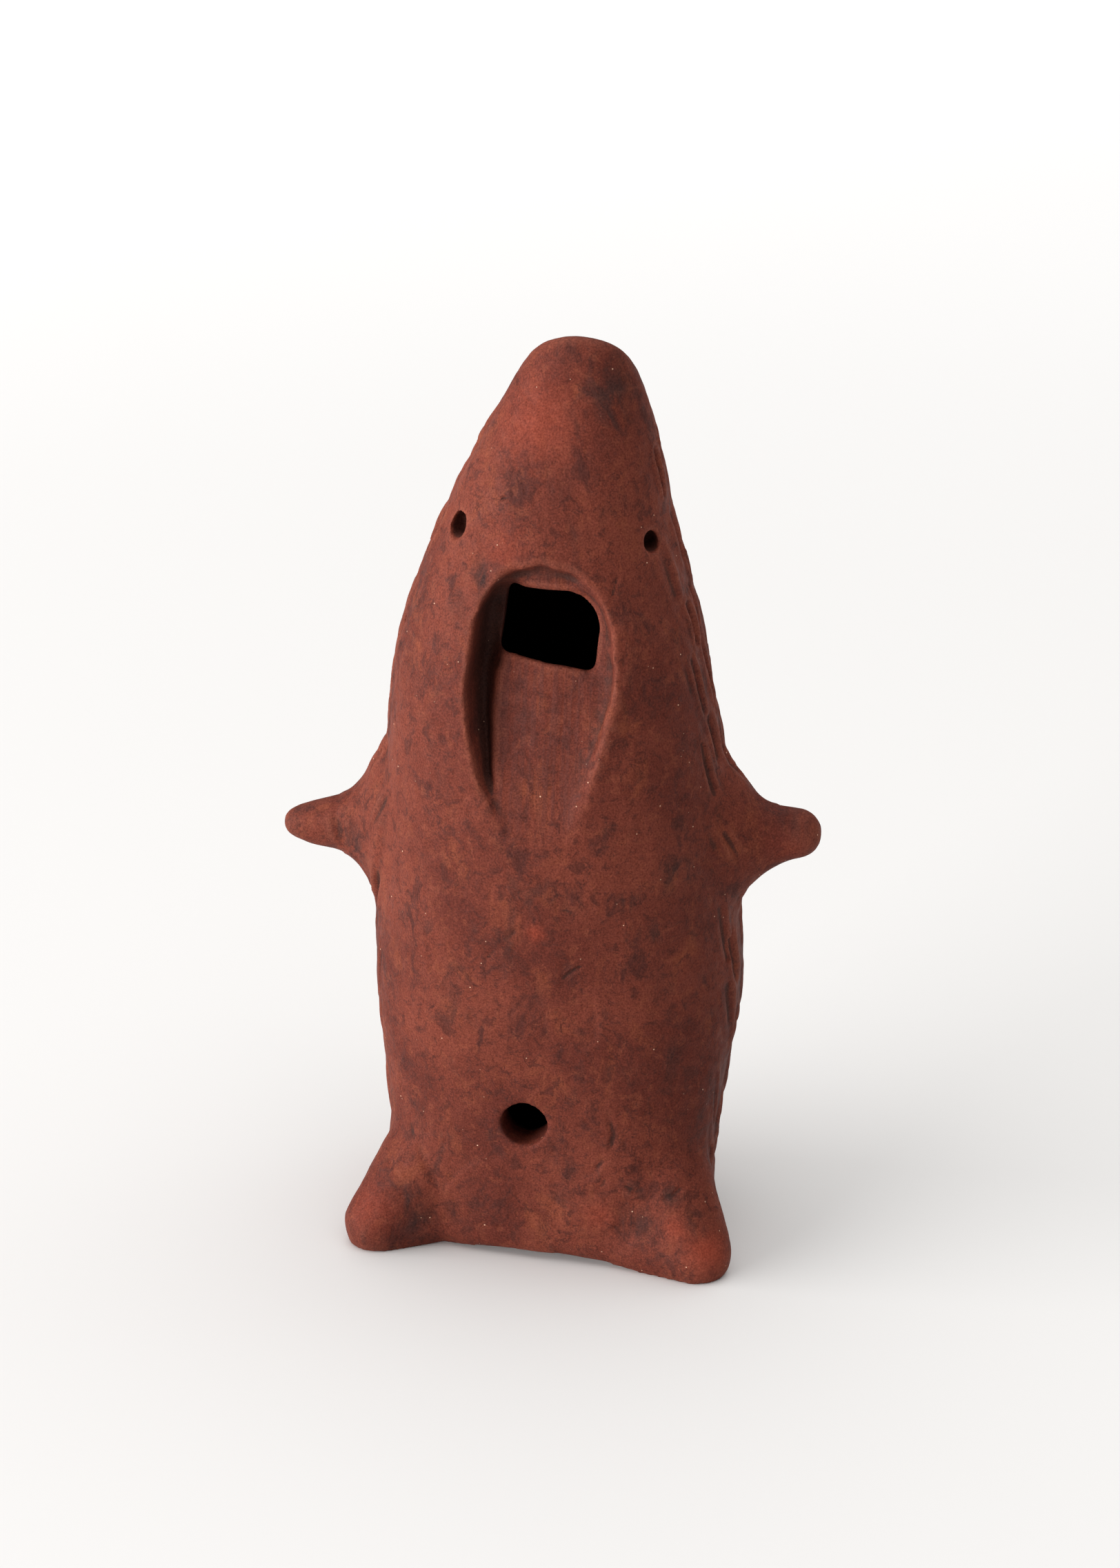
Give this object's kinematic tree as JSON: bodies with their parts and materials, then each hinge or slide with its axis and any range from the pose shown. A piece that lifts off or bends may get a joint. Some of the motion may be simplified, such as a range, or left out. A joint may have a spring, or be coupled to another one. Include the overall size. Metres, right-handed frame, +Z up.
{
  "type": "ocarina",
  "caption": "Clay vessel flute shaped as an animal sitting up: blow slot at the snout's tip, window in the throat, finger hole low on the belly, resting on two feet and a heel.",
  "frame": {"origin": "on the floor, under the middle of the figure's bounding box", "axes": "+Z up along the height, -Y the way the belly faces, +X towards the figure's own left arm"},
  "size_m": [0.0572, 0.0331, 0.0997],
  "materials": {
    "terracotta": "matte unglazed fired clay, smoke-darkened in patches"
  },
  "bodies": {
    "root": {"belly_shell": "terracotta", "back_shell": "terracotta", "base_slab": "terracotta", "snout_block": "terracotta", "windway_roof": "terracotta", "left_arm": "terracotta", "right_arm": "terracotta", "left_foot": "terracotta", "right_foot": "terracotta"}
  },
  "joints": []
}
